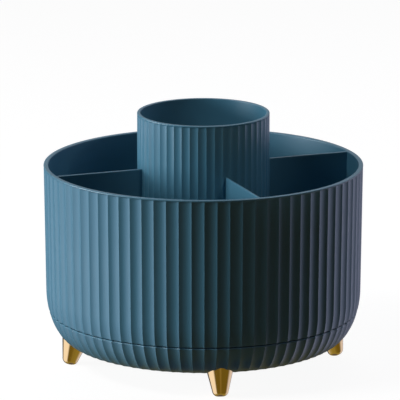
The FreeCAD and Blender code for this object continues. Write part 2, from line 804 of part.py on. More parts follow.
ear_holes = put(
    round_pegs("ear_holes", ear_circle, of.small_screw_radius + of.screw_room, ear_low - OVERRUN,
               ear_top + OVERRUN / 2, of.race_screw_count),
    between_dividers,
)
upper_solid = joined_solid("upper_solid", [upper_ring, ear_body])
upper_tools = group("upper_tools", [ball_groove("upper_groove"), ear_holes])
upper_race = put(boolean("Cut", "upper_race", upper_solid, upper_tools), turned(drum_turn))
upper_race_screws = put(
    screws("upper_race_screws", ear_circle, ear_low, of.small_screw_radius, upper_screw_length,
           of.race_screw_count),
    turned(drum_turn) * between_dividers,
)

# Brush cup: fluted outside, standing on a ring, with its floor above three screw bosses
cup_sections = [
    (of.cup_radius, floor_top),
    (of.cup_radius, cup_top - of.edge_break),
    (of.cup_radius - of.edge_break, cup_top),
]
cup_form = fluted_loft("cup_form", cup_sections, of.cup_flutes, of.cup_flute_depth, of.cup_radius, True)
cup_hollow = new_body("cup_hollow")
turn_profile(cup_hollow, "cup_hollow_turned", [
    (0, cup_floor_top),
    (cup_inner_radius, cup_floor_top),
    (cup_inner_radius, cup_top - of.edge_break),
    (cup_inner_radius + of.edge_break, cup_top),
    (cup_inner_radius + of.edge_break, cup_top + OVERRUN),
    (0, cup_top + OVERRUN),
])
plinth_radius = of.cup_radius - of.cup_flute_depth - of.cup_foot_wall
cup_plinth = cylinder("cup_plinth_hollow", plinth_radius, floor_top - OVERRUN, cup_floor_low)
cup_bosses = round_pegs(
    "cup_bosses", cup_screw_circle, of.race_boss_radius, floor_top, cup_floor_top, of.cup_screw_count
)
cup_pilots = round_pegs(
    "cup_pilots", cup_screw_circle, of.small_screw_radius + of.press_gap, floor_top - OVERRUN,
    floor_low + cup_screw_length + of.screw_tip_room, of.cup_screw_count,
)
cup_slots = new_body("cup_slots")
cup_slot_sketch = new_sketch(cup_slots, "cup_slot_outline", "XZ_Plane")
draw_outline(cup_slot_sketch, ring_profile(
    of.cup_radius - of.cup_tongue - of.slot_gap, of.cup_radius + OVERRUN, floor_top - OVERRUN,
    divider_top + of.slot_gap,
))
cup_slot = pad(cup_slots, "cup_slot", cup_slot_sketch, of.divider_thick + 2 * of.slot_gap, both_ways=True)
repeat_round(cup_slots, "cup_slots_round", [cup_slot], of.divider_count)
cup_hollows = group("cup_hollows", [cup_hollow, cup_plinth, cup_slots])
cup_cut = boolean("Cut", "cup_cut", cup_form, cup_hollows)
cup_bossed = joined_solid("cup_bossed", [cup_cut, cup_bosses])
centre_cup = put(boolean("Cut", "centre_cup", cup_bossed, cup_pilots), turned(drum_turn))
cup_screws = put(
    screws("cup_screws", cup_screw_circle, floor_low, of.small_screw_radius, cup_screw_length,
           of.cup_screw_count),
    turned(drum_turn),
)

# Dividers: flat panels whose edges stand in the slots of cup and wall
dividers = []
for index, name in enumerate(names_round("divider", of.divider_count)):
    panel = new_body(name)
    panel_sketch = new_sketch(panel, f"{name}_outline", "XZ_Plane")
    draw_outline(panel_sketch, panel_corners(
        of.cup_radius - of.cup_tongue, of.wall_tongue, floor_top, divider_top
    ))
    plate = pad(panel, f"{name}_plate", panel_sketch, of.divider_thick, both_ways=True)
    doc.recompute()
    long_edges = [
        edge for edge in edges_at(plate.Shape, divider_top)
        if plate.Shape.getElement(edge).BoundBox.XLength > of.divider_thick.value
    ]
    fillet(panel, f"{name}_rounding", plate, long_edges, of.divider_round)
    put(panel, turned(drum_turn + index * 360 / of.divider_count - 90))
    dividers.append(panel)

# What holds the drum down: a washer wider than the bush, screwed to the pin's end
pivot_washer = new_body("pivot_washer")
turn_profile(pivot_washer, "washer_turned", ring_profile(
    of.pivot_screw_radius + of.screw_room, washer_radius, washer_low, pin_low
))
pivot_screw = screws("pivot_screw", 0, washer_low, of.pivot_screw_radius, of.pivot_screw_length, 1)

NODES = [
    base_shell, *feet, foot_screws, lower_race, lower_race_screws, pivot_bush,
    ball_cage, bearing_balls,
    drum_shell, upper_race, upper_race_screws, centre_cup, cup_screws, *dividers, pivot_washer, pivot_screw,
]

doc.recompute()
faults = [piece.Label for piece in doc.Objects if "Invalid" in piece.State or "Error" in piece.State]
if faults:
    raise RuntimeError(f"failed objects: {faults}")
for node in NODES:
    if node.Shape.isNull() or not node.Shape.isValid():
        raise RuntimeError(f"bad shape: {node.Label}")

os.makedirs("parts", exist_ok=True)
for node in NODES:
    node.Shape.exportStep(f"parts/{node.Label}.step")
    box = node.Shape.BoundBox
    print(
        f"{node.Label}: {len(node.Shape.Solids)} solid(s), {node.Shape.Volume / 1000:.2f} cm3, "
        f"z {box.ZMin:.2f} to {box.ZMax:.2f}"
    )
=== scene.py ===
# %% [markdown]
# A revolving makeup organizer: a fluted drum with four dividers round a tall fluted cup, on a low
# bowl that stands on four gold feet. It is satin moulded plastic, so its looks come from three
# things: crisp flutes with soft edges, one calm teal finish, and light that falls from the side.
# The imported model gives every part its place. Parts whose shape is already right keep their mesh
# and get a finish. The three fluted mouldings are built again here with rounded edges, and so are
# the screws that show from below, with a cross recess in each head.

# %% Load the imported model
import bmesh
import bpy
import json
import math
from mathutils import Matrix, Vector


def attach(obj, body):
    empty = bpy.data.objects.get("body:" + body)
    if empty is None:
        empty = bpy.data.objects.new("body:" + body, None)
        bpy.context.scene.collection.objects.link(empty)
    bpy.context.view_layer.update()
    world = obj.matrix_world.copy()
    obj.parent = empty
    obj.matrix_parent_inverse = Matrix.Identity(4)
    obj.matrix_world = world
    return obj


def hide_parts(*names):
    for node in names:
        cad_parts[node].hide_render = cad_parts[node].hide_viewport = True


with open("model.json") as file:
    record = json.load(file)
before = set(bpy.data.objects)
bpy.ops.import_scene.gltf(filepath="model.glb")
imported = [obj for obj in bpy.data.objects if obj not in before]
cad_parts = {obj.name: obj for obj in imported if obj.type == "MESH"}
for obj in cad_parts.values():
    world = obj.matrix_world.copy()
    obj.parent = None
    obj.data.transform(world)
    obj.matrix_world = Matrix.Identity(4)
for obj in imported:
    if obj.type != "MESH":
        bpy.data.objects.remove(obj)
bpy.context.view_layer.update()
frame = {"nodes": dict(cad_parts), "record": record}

scene = bpy.context.scene
nodes = frame["nodes"]
MM = 0.001

# %% [markdown]
# The camera comes first, because every later choice is judged through it. The product picture was
# taken with a long lens from well back: the drum's sides hardly converge, and the rim is a flat
# ellipse. A lens of 388 mm from 3.1 m away gives that. The camera looks down by 13.7 degrees.

# %% Place the camera
CAMERA_PLACE = (-0.3690, -2.9413, 0.8368)
CAMERA_TURN = math.radians(-7.15)
CAMERA_YAW = math.radians(0.045)
CAMERA_DOWN = math.radians(13.653)
LENS_LENGTH = 388.44
SENSOR_WIDTH = 36

lens = bpy.data.cameras.new("camera")
lens.lens = LENS_LENGTH
lens.sensor_width = SENSOR_WIDTH
camera = bpy.data.objects.new("camera", lens)
scene.collection.objects.link(camera)
camera.matrix_world = (
    Matrix.Translation(CAMERA_PLACE)
    @ Matrix.Rotation(CAMERA_TURN + CAMERA_YAW, 4, "Z")
    @ Matrix.Rotation(math.pi / 2 - CAMERA_DOWN, 4, "X")
)
scene.camera = camera
scene.view_settings.view_transform = "Standard"
print("camera stands", round(camera.matrix_world.translation.length, 3), "m away")

# %% [markdown]
# A finish is a small network of nodes, and most of it is arithmetic on masks. The class below lets
# that arithmetic be written as Python: it wraps an output socket, and +, - and * on it add a Math
# node.

# %% Arithmetic on sockets
class Signal:
    """An output socket that can be added, subtracted and multiplied."""

    def __init__(self, recipe, socket):
        self.recipe = recipe
        self.socket = socket

    def worked(self, operation, first, second):
        """The result of a Math node."""
        return self.recipe.add("Math", {"operation": operation}, {0: first, 1: second})

    def __add__(self, other):
        return self.worked("ADD", self, other)

    def __sub__(self, other):
        return self.worked("SUBTRACT", self, other)

    def __rsub__(self, other):
        return self.worked("SUBTRACT", other, self)

    def __mul__(self, other):
        return self.worked("MULTIPLY", self, other)

    __radd__ = __add__
    __rmul__ = __mul__

# %% [markdown]
# A recipe holds the network of one material or of the world, and its add method makes any node:
# first the settings, then the values or links of the sockets. Most sockets are reached by name.
# A Mix node has one set of sockets for each type of data, under the same names, so its colour
# sockets are reached by number.

# %% A network of nodes
MIX_FACTOR = 0
MIX_FIRST = 6
MIX_SECOND = 7
MIX_RESULT = 2
NEW_STOP = 0.5


class Recipe:
    """The node network of one material or of the world."""

    def __init__(self, owner):
        owner.use_nodes = True
        self.tree = owner.node_tree
        self.tree.nodes.clear()

    def add(self, kind, settings=None, sockets=None, output=0):
        """Adds any node and gives the output that is asked for."""
        node = self.tree.nodes.new("ShaderNode" + kind)
        for name, value in (settings or {}).items():
            if name == "stops":
                self.set_stops(node.color_ramp.elements, value)
            else:
                setattr(node, name, value)
        for name, value in (sockets or {}).items():
            if isinstance(value, Signal):
                self.tree.links.new(value.socket, node.inputs[name])
            else:
                node.inputs[name].default_value = value
        return Signal(self, node.outputs[output]) if node.outputs else node

    def set_stops(self, elements, stops):
        """Gives a colour ramp its stops, each a position and a colour."""
        while len(elements) < len(stops):
            elements.new(NEW_STOP)
        for element, (position, colour) in zip(elements, stops):
            element.position = position
            element.color = colour

    def blend(self, factor, first, second):
        """A colour between two colours."""
        sockets = {MIX_FACTOR: factor, MIX_FIRST: first, MIX_SECOND: second}
        return self.add("Mix", {"data_type": "RGBA"}, sockets, MIX_RESULT)

    def noise(self, place, scale, detail=2.0):
        """Smooth random values, 0 to 1, over a place."""
        sockets = {"Vector": place, "Scale": scale, "Detail": detail}
        return self.add("TexNoise", {}, sockets)


def finished(name):
    """A new material and the recipe of its network."""
    material = bpy.data.materials.new(name)
    recipe = Recipe(material)
    return material, recipe


def shaded(recipe, sockets):
    """Ends a material's network in a Principled shader."""
    shader = recipe.add("BsdfPrincipled", {}, sockets)
    recipe.add("OutputMaterial", {}, {"Surface": shader})

# %% [markdown]
# The body is ABS or polypropylene, moulded in one deep teal. Such a moulding isn't glossy: the
# steel mould is spark eroded to a fine grain, which spreads each highlight. A single flat colour
# would look like card, so the finish has four quiet layers: the grain as bump, a slow drift of
# colour and gloss from the flow of the melt, a painted highlight that makes the ridges a little
# paler, with less roughness there too, and a trace of pale dust on faces that look up.

# %% Satin teal plastic
TEAL = (0.066, 0.212, 0.315, 1)
# The lighter teal is used for the drift in tone and for the painted highlight on the ridges.
PALE_TEAL = (0.087, 0.262, 0.380, 1)
DUST = (0.46, 0.47, 0.47, 1)
NOISE_MEAN = 0.5
ROUGH_DETAIL = 3.0
GRAIN_PER_METRE = 2600
GRAIN_STRENGTH = 0.12
GRAIN_HEIGHT = 0.00005
GRAIN_IN_SHEEN = 0.05
DRIFT_PER_METRE = 14
DRIFT_IN_COLOUR = 0.5
DRIFT_IN_SHEEN = 0.06
RIDGE_HIGHLIGHT_IN_COLOUR = 0.35
RIDGE_SMOOTHING = 0.05
DUST_FROM = 0.8
DUST_COVER = 0.10
PLASTIC_IOR = 1.49


def satin_plastic(name, colour, pale, roughness):
    """A moulded plastic that drifts towards its paler shade, with a painted highlight of that shade
    on its ridges.
    """
    material, recipe = finished(name)
    place = recipe.add("TexCoord", {}, {}, "Object")
    grain = recipe.noise(place, GRAIN_PER_METRE)
    drift = recipe.noise(place, DRIFT_PER_METRE, ROUGH_DETAIL)
    # Painted highlight: the ridge mask makes each flute ridge paler in colour, and also smoother.
    ridge_highlight_mask = recipe.add("Attribute", {"attribute_name": "ridge"}, {}, "Fac")
    flow = drift - NOISE_MEAN
    paler = ridge_highlight_mask * RIDGE_HIGHLIGHT_IN_COLOUR + flow * DRIFT_IN_COLOUR
    sheen = roughness - ridge_highlight_mask * RIDGE_SMOOTHING + flow * DRIFT_IN_SHEEN
    facing = recipe.add("NewGeometry", {}, {}, "Normal")
    upward = recipe.add("SeparateXYZ", {}, {"Vector": facing}, "Z")
    level = recipe.add("MapRange", {}, {"Value": upward, "From Min": DUST_FROM, "From Max": 1.0})
    dust = level * drift * DUST_COVER
    bump = {"Strength": GRAIN_STRENGTH, "Distance": GRAIN_HEIGHT, "Height": grain}
    shaded(recipe, {
        "Base Color": recipe.blend(dust, recipe.blend(paler, colour, pale), DUST),
        "Roughness": sheen + (grain - NOISE_MEAN) * GRAIN_IN_SHEEN + dust,
        "IOR": PLASTIC_IOR,
        "Normal": recipe.add("Bump", {}, bump),
    })
    return material


teal_plastic = satin_plastic("teal plastic", TEAL, PALE_TEAL, roughness=0.35)
print("satin plastic nodes:", len(teal_plastic.node_tree.nodes))

# %% [markdown]
# The feet are plastic too, but they are plated: copper and nickel, then a thin bright gold-coloured
# coat. A plated cone mirrors the room, so nearly all of its look is reflection. The polish leaves
# fine rings round the cone, which show only as a slight spread of the highlights, and a faint
# cloud in the coat deepens its colour here and there. Screws and balls are finished the same way.

# %% Gold plating and the plain metals
GOLD = (0.86, 0.645, 0.33, 1)
DEEP_GOLD = (0.80, 0.575, 0.265, 1)
STEEL = (0.62, 0.63, 0.64, 1)
DULL_STEEL = (0.48, 0.50, 0.52, 1)
RINGS_ACROSS = 60
RING_STRENGTH = 0.05
RING_HEIGHT = 0.00002
RINGS_IN_SHEEN = 0.06
CLOUD_PER_METRE = 90
CLOUD_IN_COLOUR = 0.6
CLOUD_IN_SHEEN = 0.05


def polished_metal(name, colour, deeper, roughness, rings_per_metre):
    """A polished metal or plating, with a deeper shade in its clouds."""
    material, recipe = finished(name)
    place = recipe.add("TexCoord", {}, {}, "Object")
    stretch = (RINGS_ACROSS, RINGS_ACROSS, rings_per_metre)
    stretched = recipe.add("Mapping", {}, {"Vector": place, "Scale": stretch})
    rings = recipe.noise(stretched, 1.0, ROUGH_DETAIL)
    cloud = recipe.noise(place, CLOUD_PER_METRE, ROUGH_DETAIL)
    sheen = roughness + (rings - NOISE_MEAN) * RINGS_IN_SHEEN
    bump = {"Strength": RING_STRENGTH, "Distance": RING_HEIGHT, "Height": rings}
    shaded(recipe, {
        "Base Color": recipe.blend(cloud * CLOUD_IN_COLOUR, colour, deeper),
        "Metallic": 1.0,
        "Roughness": sheen + (cloud - NOISE_MEAN) * CLOUD_IN_SHEEN,
        "Normal": recipe.add("Bump", {}, bump),
    })
    return material


gold_plating = polished_metal("gold plating", GOLD, DEEP_GOLD, roughness=0.10, rings_per_metre=2500)
zinc_plating = polished_metal("zinc plating", STEEL, DULL_STEEL, roughness=0.30, rings_per_metre=3500)
ball_steel = polished_metal("ball steel", STEEL, DULL_STEEL, roughness=0.08, rings_per_metre=900)
print("polished metal nodes:", len(gold_plating.node_tree.nodes))

# %% [markdown]
# Inside the base sits a ball bearing that nobody sees once the organizer is put together. Its races
# and bush are natural acetal, a milky plastic, and the ring that keeps the balls apart is black
# nylon. They are finished as the rest is, because the drum can be lifted in other views.

# %% Bearing plastics
ACETAL = (0.78, 0.77, 0.72, 1)
WARM_ACETAL = (0.72, 0.69, 0.60, 1)
NYLON = (0.020, 0.020, 0.022, 1)
# The lighter nylon is used for the drift in tone and for any painted ridge highlight.
PALE_NYLON = (0.050, 0.050, 0.052, 1)
acetal = satin_plastic("acetal", ACETAL, WARM_ACETAL, roughness=0.34)
black_nylon = satin_plastic("black nylon", NYLON, PALE_NYLON, roughness=0.48)
print("bearing plastics:", acetal.name, "and", black_nylon.name)

# %% [markdown]
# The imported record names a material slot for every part. Each slot gets one finish, and the parts
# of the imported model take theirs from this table.

# %% A finish for every part
FINISHES = {
    "drum_plastic": teal_plastic,
    "base_plastic": teal_plastic,
    "cup_plastic": teal_plastic,
    "divider_plastic": teal_plastic,
    "plated_foot": gold_plating,
    "race_plastic": acetal,
    "bush_plastic": acetal,
    "cage_plastic": black_nylon,
    "steel_ball": ball_steel,
    "zinc_screw": zinc_plating,
}
for part in frame["record"]["subparts"]:
    for holder in nodes[part["node"]].material_slots:
        holder.material = FINISHES[part["material_slot"]]

# %% [markdown]
# Each fluted moulding is a closed section that is swept round the axis, like clay under a shaped
# rib. Real mouldings have no knife edges, so the corners that show are rounded, each by a curve
# that starts and ends a little way from the corner. A bevel modifier would do that too, but it
# would also bevel the flutes, which need a shape of their own. A corner also says whether the
# flutes are cut into it in full, in part or not at all.

# %% Sections with rounded corners
EDGE_STEPS = 5
FLUTED = 1
PLAIN = 0
SHARP = 0


def rounded(corners):
    """Section points from corners of (radius, height, flute share, rounding), all in mm."""
    points = []
    for index, (radius, height, share, rounding) in enumerate(corners):
        here = Vector((radius, height))
        if not rounding:
            points.append((radius, height, share))
            continue
        before = Vector(corners[index - 1][:2])
        after = Vector(corners[(index + 1) % len(corners)][:2])
        start = here + (before - here).normalized() * rounding
        end = here + (after - here).normalized() * rounding
        for step in range(EDGE_STEPS + 1):
            t = step / EDGE_STEPS
            point = start * (1 - t) ** 2 + here * 2 * t * (1 - t) + end * t ** 2
            points.append((point.x, point.y, share))
    return points

# %% [markdown]
# The flutes are shallow scoops between narrow ridges. A plain array of bevelled cuts would break
# where the wall bends in under the drum, so the sweep itself draws the flutes: at each point of
# the section, its flute share says how much of the scoop's depth is taken off. The ridges are
# rounded too, so the sweep takes finer steps over them than through the scoops. Points that meet
# on the axis are joined at the end, so that no empty face is left there.

# %% Fluted sweeps
WELD = 1e-6
RIDGE_HALF = 0.02
OFFSETS = (0, 0.01, 0.02, 0.04, 0.09, 0.18, 0.28, 0.39)
VALLEY = 0.5
FLUTE_STEPS = [-step for step in OFFSETS[:0:-1]] + list(OFFSETS) + [VALLEY]


def scoop(v):
    """How deep a flute is, 0 to 1, at v flutes from the nearest ridge."""
    if v < RIDGE_HALF:
        return 2 * RIDGE_HALF + 2 * (1 - 2 * RIDGE_HALF) / RIDGE_HALF * v * v
    return 4 * v * (1 - v)


def swept(name, section, flutes, depth, valley_at, full_radius):
    """A closed section swept round the axis, with flutes and a ridge mask."""
    steps = [(flute + step + VALLEY, abs(step)) for flute in range(flutes) for step in FLUTE_STEPS]
    vertices = []
    ridge = []
    for place, v in steps:
        azimuth = math.radians(valley_at + place * 360 / flutes)
        dip = scoop(v) * depth
        for radius, height, share in section:
            reach = (radius - dip * share * radius / full_radius) * MM
            vertices.append((reach * math.cos(azimuth), reach * math.sin(azimuth), height * MM))
            # The ridge mask, which the plastic finish uses to paint a highlight along each ridge.
            ridge.append(share * (1 - scoop(v)) ** 2)
    rows = len(section)
    faces = []
    for column in range(len(steps)):
        here = column * rows
        there = (column + 1) % len(steps) * rows
        for row in range(rows):
            up = (row + 1) % rows
            if section[row][0] or section[up][0]:
                faces.append((here + row, there + row, there + up, here + up))
    mesh = bpy.data.meshes.new(name)
    mesh.from_pydata(vertices, [], faces)
    mask = mesh.attributes.new("ridge", "FLOAT", "POINT")
    mask.data.foreach_set("value", ridge)
    joined = bmesh.new()
    joined.from_mesh(mesh)
    bmesh.ops.remove_doubles(joined, verts=joined.verts, dist=WELD)
    joined.to_mesh(mesh)
    joined.free()
    return mesh

# %% [markdown]
# A mesh becomes a piece when it has a finish, rides on an imported body and hides the imported part
# that it stands for. Faces that meet at a small angle are shaded as one smooth surface.

# %% Placing a piece
SHARP_ANGLE = math.radians(50)


def placed(name, mesh, body, slot, replaced):
    """Makes a piece of a mesh, sets what it rides on and hides the part that it stands for."""
    piece = bpy.data.objects.new(name, mesh)
    scene.collection.objects.link(piece)
    mesh.materials.append(FINISHES[slot])
    mesh.polygons.foreach_set("use_smooth", [True] * len(mesh.polygons))
    mesh.set_sharp_from_angle(angle=SHARP_ANGLE)
    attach(piece, body)
    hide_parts(replaced)

# %% [markdown]
# The bowl and the drum share one outline: a quarter of an ellipse up to the knee, then a wall that
# leans out by a millimetre. Both pieces take their radii from the two functions below, so their
# walls stay in line across the seam.

# %% The outline of bowl and drum
RIM_RADIUS = 112.7
RIM_TOP = 143.5
KNEE_RADIUS = 111.6
KNEE_HEIGHT = 54.55
KNEE_RISE = 38.95
TUCK = 21.7


def outline(height):
    """Radius of the flute ridges at a height."""
    if height >= KNEE_HEIGHT:
        lean = RIM_RADIUS - KNEE_RADIUS
        return KNEE_RADIUS + lean * (height - KNEE_HEIGHT) / (RIM_TOP - KNEE_HEIGHT)
    drop = (KNEE_HEIGHT - height) / KNEE_RISE
    return KNEE_RADIUS - TUCK + TUCK * math.sqrt(max(0.0, 1 - drop * drop))


def ellipse(low, high, steps, share, inset=0.0):
    """Section corners up the curve between two heights, moved in square to the curve."""
    first = math.acos((KNEE_HEIGHT - low) / KNEE_RISE)
    last = math.acos((KNEE_HEIGHT - high) / KNEE_RISE)
    corners = []
    for step in range(steps + 1):
        angle = first + (last - first) * step / steps
        across = math.sin(angle)
        along = math.cos(angle)
        slope = math.hypot(across / TUCK, along / KNEE_RISE)
        radius = KNEE_RADIUS - TUCK + TUCK * across - inset * across / TUCK / slope
        height = KNEE_HEIGHT - KNEE_RISE * along + inset * along / KNEE_RISE / slope
        corners.append((radius, height, share, SHARP))
    return corners


print("radius at the foot of the curve:", round(outline(KNEE_HEIGHT - KNEE_RISE), 2), "mm")

# %% [markdown]
# The seam between bowl and drum is a gap of 0.7 mm, which reads as a thin dark line. The bowl's
# edge is bevelled under it, flutes and all, so it catches the light in a row of short pale
# strokes, one to each flute. The bowl is thin-walled, with a tower in the middle that the drum's
# pivot turns in.

# %% The bowl of the base
FRONT = -90
FLUTES = 80
FLUTE_DEPTH = 0.9
BOWL_LOW = 15.6
BOWL_FLOOR = 18.2
FLAT_EDGE = 84
SEAM_LOW = 37.95
SEAM_BREAK = 0.7
BEVEL_EDGE = 0.12
SOFT_EDGE = 0.5
MOULD_EDGE = 0.4
SKIRT_WALL = 3.2
INNER_LOW = 18.0
OUTER_STEPS = 16
INNER_STEPS = 10
BUSH_SEAT = 9.52
TOWER_RADIUS = 12.5
TOWER_TOP = 33.0
lip_radius = outline(SEAM_LOW)
bevel_low = SEAM_LOW - SEAM_BREAK
bowl_section = (
    [(BUSH_SEAT, BOWL_LOW, PLAIN, MOULD_EDGE), (FLAT_EDGE, BOWL_LOW, PLAIN, SHARP)]
    + ellipse(BOWL_LOW, SEAM_LOW - 2 * SEAM_BREAK, OUTER_STEPS, FLUTED)
    + [(outline(bevel_low), bevel_low, FLUTED, BEVEL_EDGE)]
    + [(lip_radius - SEAM_BREAK, SEAM_LOW, FLUTED, BEVEL_EDGE)]
    + [(lip_radius - SKIRT_WALL, SEAM_LOW, PLAIN, SOFT_EDGE)]
    + ellipse(INNER_LOW, bevel_low, INNER_STEPS, PLAIN, SKIRT_WALL)[::-1]
    + [(FLAT_EDGE, BOWL_FLOOR, PLAIN, SHARP), (TOWER_RADIUS, BOWL_FLOOR, PLAIN, SHARP)]
    + [(TOWER_RADIUS, TOWER_TOP, PLAIN, SOFT_EDGE), (BUSH_SEAT, TOWER_TOP, PLAIN, SHARP)]
)
bowl_mesh = swept("bowl", rounded(bowl_section), FLUTES, FLUTE_DEPTH, FRONT, RIM_RADIUS)
placed("bowl", bowl_mesh, "base", "base_plastic", "base_shell")
print("bowl:", len(bowl_mesh.polygons), "faces")

# %% [markdown]
# The drum carries the flutes on up to the rim, where the wall is 3.4 mm thick on a ridge. There
# they run out under a plain lip, so that the rim's edge is a clean circle. The floor sits low, a
# few millimetres above the seam, and the short skirt below it hides the bearing. The pivot pin is
# moulded under the floor.

# %% The drum
DRUM_TURN = 13.5
SEAM_HIGH = 38.65
KNEE_STEPS = 9
WALL_MIDDLE = 90
PLAIN_LIP = 0.8
LIP_STEPS = ((1.8, 1), (1.55, 0.92), (1.3, 0.7), (1.05, 0.3), (PLAIN_LIP, 0))
RIM_WALL = 3.4
RIM_EDGE = 0.7
INNER_RIM_EDGE = 0.8
INNER_LEAN = 1.5
FLOOR_FILLET = 2.5
DRUM_FLOOR = 43.4
DRUM_UNDERSIDE = 41.0
CUP_SEAT = 46
PIN_RADIUS = 7.0
PIN_LOW = 20.4
PIN_TOP = 37.0
BOSS_RADIUS = 11.0
inner_rim = RIM_RADIUS - RIM_WALL
skirt_inner = outline(SEAM_HIGH) - SKIRT_WALL


def lip(top):
    """Section corners where the flutes run out into a plain lip under a rim."""
    return [(outline(top - down), top - down, share, SHARP) for down, share in LIP_STEPS]


drum_section = (
    [(outline(SEAM_HIGH), SEAM_HIGH, FLUTED, MOULD_EDGE)]
    + ellipse(SEAM_HIGH + SEAM_BREAK, KNEE_HEIGHT, KNEE_STEPS, FLUTED)
    + [(outline(WALL_MIDDLE), WALL_MIDDLE, FLUTED, SHARP)] + lip(RIM_TOP)
    + [(RIM_RADIUS, RIM_TOP, PLAIN, RIM_EDGE), (inner_rim, RIM_TOP, PLAIN, INNER_RIM_EDGE)]
    + [(inner_rim - INNER_LEAN, DRUM_FLOOR, PLAIN, FLOOR_FILLET)]
    + [(CUP_SEAT, DRUM_FLOOR, PLAIN, SHARP), (0, DRUM_FLOOR, PLAIN, SHARP)]
    + [(0, PIN_LOW, PLAIN, SHARP), (PIN_RADIUS, PIN_LOW, PLAIN, MOULD_EDGE)]
    + [(PIN_RADIUS, PIN_TOP, PLAIN, SHARP), (BOSS_RADIUS, PIN_TOP, PLAIN, SHARP)]
    + [(BOSS_RADIUS, DRUM_UNDERSIDE, PLAIN, SHARP), (skirt_inner, DRUM_UNDERSIDE, PLAIN, SHARP)]
    + [(skirt_inner, SEAM_HIGH, PLAIN, MOULD_EDGE)]
)
drum_mesh = swept(
    "drum", rounded(drum_section), FLUTES, FLUTE_DEPTH, FRONT + DRUM_TURN, RIM_RADIUS,
)
placed("drum", drum_mesh, "drum", "drum_plastic", "drum_shell")
print("drum:", len(drum_mesh.polygons), "faces")

# %% [markdown]
# The cup is a tall tube with finer flutes, 50 of them, and a floor a little above the drum's. It
# stands in the middle of the drum and is screwed on from below. It could be the drum's sweep with
# other numbers, but its wall is straight and its floor lies high, so it has a section of its own.

# %% The cup
CUP_FLUTES = 50
CUP_FLUTE_DEPTH = 0.6
CUP_RADIUS = 46.65
CUP_INNER = 44.2
CUP_FOOT_INNER = 43.65
CUP_FOOT_EDGE = 0.3
CUP_MIDDLE = 100
CUP_TOP = 180.5
CUP_FLOOR = 51.5
CUP_UNDERSIDE = 49.0
CUP_FILLET = 1.5
cup_section = [
    (CUP_FOOT_INNER, DRUM_FLOOR, PLAIN, SHARP), (CUP_RADIUS, DRUM_FLOOR, FLUTED, CUP_FOOT_EDGE),
    (CUP_RADIUS, CUP_MIDDLE, FLUTED, SHARP),
    *((CUP_RADIUS, CUP_TOP - down, share, SHARP) for down, share in LIP_STEPS),
    (CUP_RADIUS, CUP_TOP, PLAIN, RIM_EDGE), (CUP_INNER, CUP_TOP, PLAIN, RIM_EDGE),
    (CUP_INNER, CUP_FLOOR, PLAIN, CUP_FILLET), (0, CUP_FLOOR, PLAIN, SHARP),
    (0, CUP_UNDERSIDE, PLAIN, SHARP), (CUP_FOOT_INNER, CUP_UNDERSIDE, PLAIN, SHARP),
]
cup_mesh = swept(
    "brush_cup", rounded(cup_section), CUP_FLUTES, CUP_FLUTE_DEPTH, FRONT + DRUM_TURN, CUP_RADIUS,
)
placed("brush_cup", cup_mesh, "drum", "cup_plastic", "centre_cup")
print("cup:", len(cup_mesh.polygons), "faces")

# %% [markdown]
# Seen from below, five pan-head screws hold the race and the drum's pin. A cross recess is again a
# sweep: four deep flutes in the recess wall make a star with four arms, and the rest of the section
# leaves them out. A screw's other measures follow from the radius of its shank.

# %% A screw with a cross recess
HEAD_TO_SHANK = 1.9
HEAD_HEIGHT_TO_SHANK = 1.3
RECESS_TO_SHANK = 0.9
RECESS_EDGE_TO_SHANK = 0.7
RECESS_FLOOR_TO_ARM = 0.5
ARM_TO_HEAD = 0.6
ARM_CUT = 0.62
ARMS = 4
CROWN_TO_HEAD = 0.8
CROWN_HEIGHT = 0.1
CROWN_EDGE = 0.3
SIDE_HEIGHT = 0.7
SIDE_EDGE = 0.4
TIP_CHAMFER = 0.4


def cross_screw(name, shank, seat, tip):
    """A pan-head screw that points up, with a cross recess in its head."""
    head = shank * HEAD_TO_SHANK
    low = seat - shank * HEAD_HEIGHT_TO_SHANK
    arm = head * ARM_TO_HEAD
    section = [
        (0, low + shank * RECESS_TO_SHANK, PLAIN, SHARP),
        (arm * RECESS_FLOOR_TO_ARM, low + shank * RECESS_EDGE_TO_SHANK, FLUTED, SHARP),
        (arm, low, FLUTED, SHARP),
        (head * CROWN_TO_HEAD, low + CROWN_HEIGHT, PLAIN, CROWN_EDGE),
        (head, low + SIDE_HEIGHT, PLAIN, SIDE_EDGE), (head, seat, PLAIN, SHARP),
        (shank, seat, PLAIN, SHARP), (shank, tip - TIP_CHAMFER, PLAIN, SHARP),
        (shank - TIP_CHAMFER, tip, PLAIN, SHARP), (0, tip, PLAIN, SHARP),
    ]
    return swept(name, rounded(section), ARMS, arm * ARM_CUT, 0, arm)

# %% [markdown]
# Four of the screws stand on one circle and are alike, so their piece is a single mesh that holds
# four copies. The fifth stands on the axis and turns with the drum.

# %% The screws in their places
RACE_SCREW_CIRCLE = 70
RACE_SCREW_TURNS = (45, 135, 225, 315)


def repeated(mesh, places):
    """Fills a mesh with copies of itself at several places."""
    whole = bmesh.new()
    for place in places:
        copy = mesh.copy()
        copy.transform(place)
        whole.from_mesh(copy)
    whole.to_mesh(mesh)
    whole.free()
    return mesh


out = Matrix.Translation((RACE_SCREW_CIRCLE * MM, 0, 0))
places = [Matrix.Rotation(math.radians(turn), 4, "Z") @ out for turn in RACE_SCREW_TURNS]
race_screw = cross_screw("race_screws_below", shank=1.5, seat=BOWL_LOW, tip=24.0)
placed("race_screws_below", repeated(race_screw, places), "base", "zinc_screw", "lower_race_screws")
pin_screw = cross_screw("pin_screw", shank=2.0, seat=18.9, tip=32.9)
placed("pin_screw", pin_screw, "drum", "zinc_screw", "pivot_screw")
print("screws:", len(race_screw.polygons) + len(pin_screw.polygons), "faces")

# %% [markdown]
# The floor is pale and plain, and it has to end in pure white behind the organizer without a lamp
# that is far too strong. So the floor glows a little for camera rays alone, and stays a modest
# grey for every other ray. The light that it throws up under the bowl stays low, and the soft
# shadow stays too.

